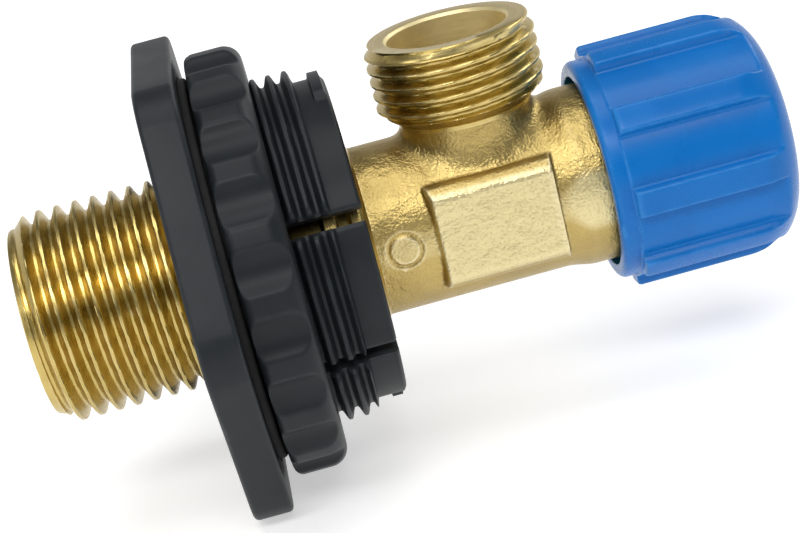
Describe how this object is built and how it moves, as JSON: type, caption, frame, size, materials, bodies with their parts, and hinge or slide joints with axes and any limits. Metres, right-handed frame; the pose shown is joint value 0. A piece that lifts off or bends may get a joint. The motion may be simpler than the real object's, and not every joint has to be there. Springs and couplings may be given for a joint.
{
  "type": "angle stop valve",
  "caption": "Angle stop valve with a fluted hand knob that sets water flow and pressure, held in a panel by a flanged split bush and a scalloped ring nut.",
  "frame": {"origin": "on the main axis, in the gasket seat sunk 0.5 mm into the panel-side face of the bush's flange", "axes": "+X along the main axis from the inlet towards the knob, +Z along the outlet branch"},
  "size_m": [0.0761, 0.0498, 0.044],
  "materials": {
    "brass": "cast body with machined threads",
    "grey_plastic": "satin moulded",
    "blue_plastic": "glossy moulded",
    "black_rubber": "matt",
    "steel": "plain",
    "red_fibre": "pressed fibre",
    "white_plastic": "low-friction plastic"
  },
  "bodies": {
    "valve": {"flange_bush": "grey_plastic", "valve_body": "brass", "bonnet_gasket": "red_fibre", "bonnet": "brass", "thrust_washer": "white_plastic"},
    "handwheel": {"spindle": "brass", "spindle_o_ring_inner": "black_rubber", "spindle_o_ring_outer": "black_rubber", "spindle_circlip": "steel", "knob_hub": "blue_plastic", "knob_shell": "blue_plastic", "knob_screw": "steel", "knob_screw_washer": "steel"},
    "plug": {"valve_plug": "brass", "seat_washer": "black_rubber", "washer_retainer": "brass", "washer_screw": "brass"},
    "gasket": {"panel_gasket": "black_rubber"},
    "ring_nut": {"clamp_nut": "grey_plastic"}
  },
  "joints": [
    {"name": "handwheel_turn", "type": "hinge", "parent": "valve", "child": "handwheel", "pos_m": [0.0484, 0, 0], "axis": [1, 0, 0], "range_deg": [0, 720]},
    {"name": "plug_lift", "type": "slide", "parent": "valve", "child": "plug", "axis": [1, 0, 0], "range_m": [0, 0.003]},
    {"name": "nut_travel", "type": "slide", "parent": "valve", "child": "gasket", "axis": [1, 0, 0], "range_m": [0, 0.0048]},
    {"name": "nut_turn", "type": "hinge", "parent": "gasket", "child": "ring_nut", "pos_m": [0.00425, 0, 0], "axis": [1, 0, 0], "range_deg": [0, 1080]}
  ],
  "couplings": [
    {"joint": "plug_lift", "follows": "handwheel_turn", "m_per_rad": 0.00023873},
    {"joint": "nut_travel", "follows": "nut_turn", "m_per_rad": 0.00025465}
  ]
}
